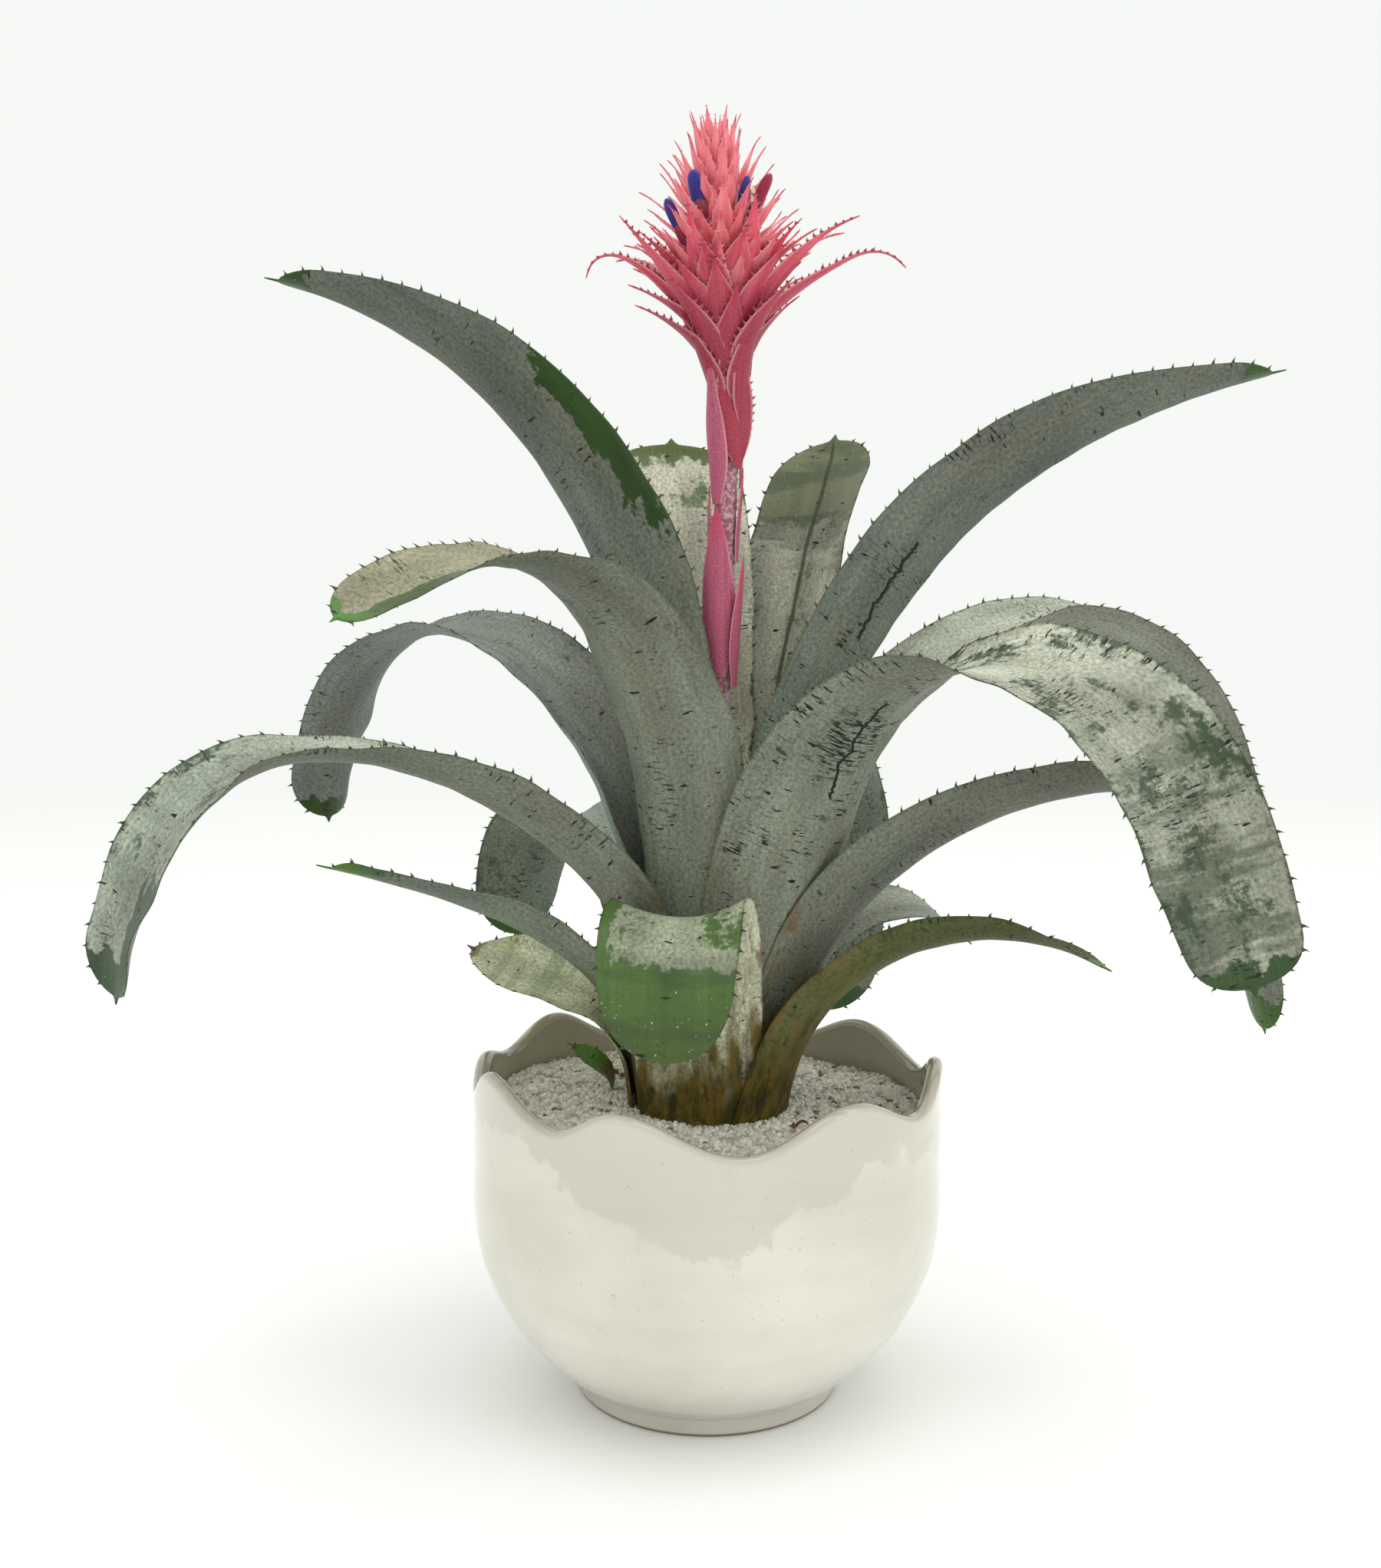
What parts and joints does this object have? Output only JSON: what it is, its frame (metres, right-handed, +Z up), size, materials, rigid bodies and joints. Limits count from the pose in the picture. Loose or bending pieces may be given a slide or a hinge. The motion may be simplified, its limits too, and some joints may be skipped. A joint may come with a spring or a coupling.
{
  "type": "potted plant",
  "caption": "Flowering urn plant with arching silver-green spined leaves and a pink bract head on a stalk, in a cream glazed round pot with a wavy scalloped rim, filled with white grit.",
  "frame": {"origin": "centre of the pot's flat foot, on the floor", "axes": "+Z up along the pot, -Y towards the front of the plant as pictured, +X to its right"},
  "size_m": [0.4963, 0.346, 0.5395],
  "materials": {
    "cream_glaze": "glossy, faint crazing and beige pooling",
    "potting_mix": "matte, loose",
    "white_grit": "matte, 2 to 3 mm grains",
    "crown": "matte, fibrous",
    "silver_leaf": "satin, silver scurf over green",
    "deep_leaf": "satin",
    "pale_leaf": "satin, yellowed",
    "stalk_fuzz": "white fuzz",
    "rose_bract": "satin",
    "head_pink": "satin, fine fuzz",
    "blue_petal": "satin",
    "red_petal": "satin"
  },
  "bodies": {
    "root": {"pot": "cream_glaze", "potting_mix": "potting_mix", "grit_layer": "white_grit", "crown": "crown", "leaf_low_right": "deep_leaf", "leaf_yellow": "pale_leaf", "leaf_front": "deep_leaf", "leaf_low_back": "silver_leaf", "leaf_back_left_low": "silver_leaf", "leaf_small_left": "silver_leaf", "leaf_side_right": "silver_leaf", "leaf_low_left": "silver_leaf", "leaf_back_right_low": "silver_leaf", "leaf_big_right": "silver_leaf", "leaf_arch_left": "silver_leaf", "leaf_arch_right": "silver_leaf", "leaf_centre_left": "silver_leaf", "leaf_upper_right": "silver_leaf", "leaf_upper_left": "silver_leaf", "leaf_back_right": "silver_leaf", "leaf_back_left": "silver_leaf", "stub_leaf": "deep_leaf", "flower_stalk": "stalk_fuzz", "stalk_bract_1": "rose_bract", "stalk_bract_2": "rose_bract", "stalk_bract_3": "rose_bract", "stalk_bract_4": "rose_bract", "stalk_bract_5": "rose_bract", "stalk_bract_6": "rose_bract", "flower_head": "head_pink", "flower_blue_1": "blue_petal", "flower_blue_2": "blue_petal", "flower_blue_3": "blue_petal", "flower_red": "red_petal"}
  },
  "joints": []
}
